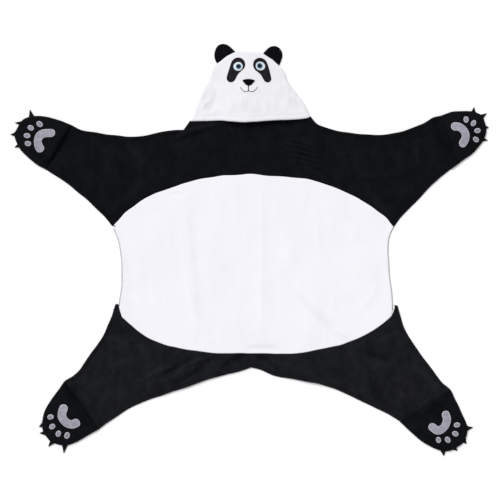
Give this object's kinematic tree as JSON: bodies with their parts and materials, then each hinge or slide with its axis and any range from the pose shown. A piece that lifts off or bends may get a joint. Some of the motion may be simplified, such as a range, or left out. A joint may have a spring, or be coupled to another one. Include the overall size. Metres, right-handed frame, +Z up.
{
  "type": "wearable hooded blanket",
  "caption": "Panda-shaped fleece blanket laid flat, palm side up, with a hood, spread arms and legs, and a mitt on each limb.",
  "frame": {"origin": "on the floor under the middle of the blanket's box", "axes": "+Z up, out of the inner side of the cloth; +Y from the legs to the hood; +X towards the limbs at the picture's right"},
  "size_m": [1.5, 1.2892, 0.0257],
  "materials": {
    "black_fleece": "matt brushed fleece, short soft nap",
    "white_fleece": "matt brushed fleece, short soft nap, faint lavender",
    "grey_plush": "short-pile plush applique, satin-stitched rim",
    "black_felt": "matt felt applique",
    "white_satin": "close satin embroidery",
    "blue_satin": "close satin embroidery",
    "navy_satin": "close satin embroidery"
  },
  "bodies": {
    "root": {"upper_body": "black_fleece", "belly_panel": "white_fleece", "lower_body": "black_fleece", "hood_front": "white_fleece", "hood_back": "white_fleece", "ear_left": "black_fleece", "ear_right": "black_fleece", "eye_patch_left": "black_felt", "eye_white_left": "white_satin", "eye_iris_left": "blue_satin", "eye_pupil_left": "navy_satin", "eye_patch_right": "black_felt", "eye_white_right": "white_satin", "eye_iris_right": "blue_satin", "eye_pupil_right": "navy_satin", "nose": "black_felt", "front_left_mitt": "black_fleece", "front_left_palm_pad": "grey_plush", "front_left_toe_pad_1": "grey_plush", "front_left_toe_pad_2": "grey_plush", "front_left_toe_pad_3": "grey_plush", "front_left_toe_pad_4": "grey_plush", "front_left_claw_1": "black_felt", "front_left_claw_2": "black_felt", "front_left_claw_3": "black_felt", "front_left_claw_4": "black_felt", "front_right_mitt": "black_fleece", "front_right_palm_pad": "grey_plush", "front_right_toe_pad_1": "grey_plush", "front_right_toe_pad_2": "grey_plush", "front_right_toe_pad_3": "grey_plush", "front_right_toe_pad_4": "grey_plush", "front_right_claw_1": "black_felt", "front_right_claw_2": "black_felt", "front_right_claw_3": "black_felt", "front_right_claw_4": "black_felt", "back_left_mitt": "black_fleece", "back_left_palm_pad": "grey_plush", "back_left_toe_pad_1": "grey_plush", "back_left_toe_pad_2": "grey_plush", "back_left_toe_pad_3": "grey_plush", "back_left_toe_pad_4": "grey_plush", "back_left_claw_1": "black_felt", "back_left_claw_2": "black_felt", "back_left_claw_3": "black_felt", "back_left_claw_4": "black_felt", "back_right_mitt": "black_fleece", "back_right_palm_pad": "grey_plush", "back_right_toe_pad_1": "grey_plush", "back_right_toe_pad_2": "grey_plush", "back_right_toe_pad_3": "grey_plush", "back_right_toe_pad_4": "grey_plush", "back_right_claw_1": "black_felt", "back_right_claw_2": "black_felt", "back_right_claw_3": "black_felt", "back_right_claw_4": "black_felt"}
  },
  "joints": []
}
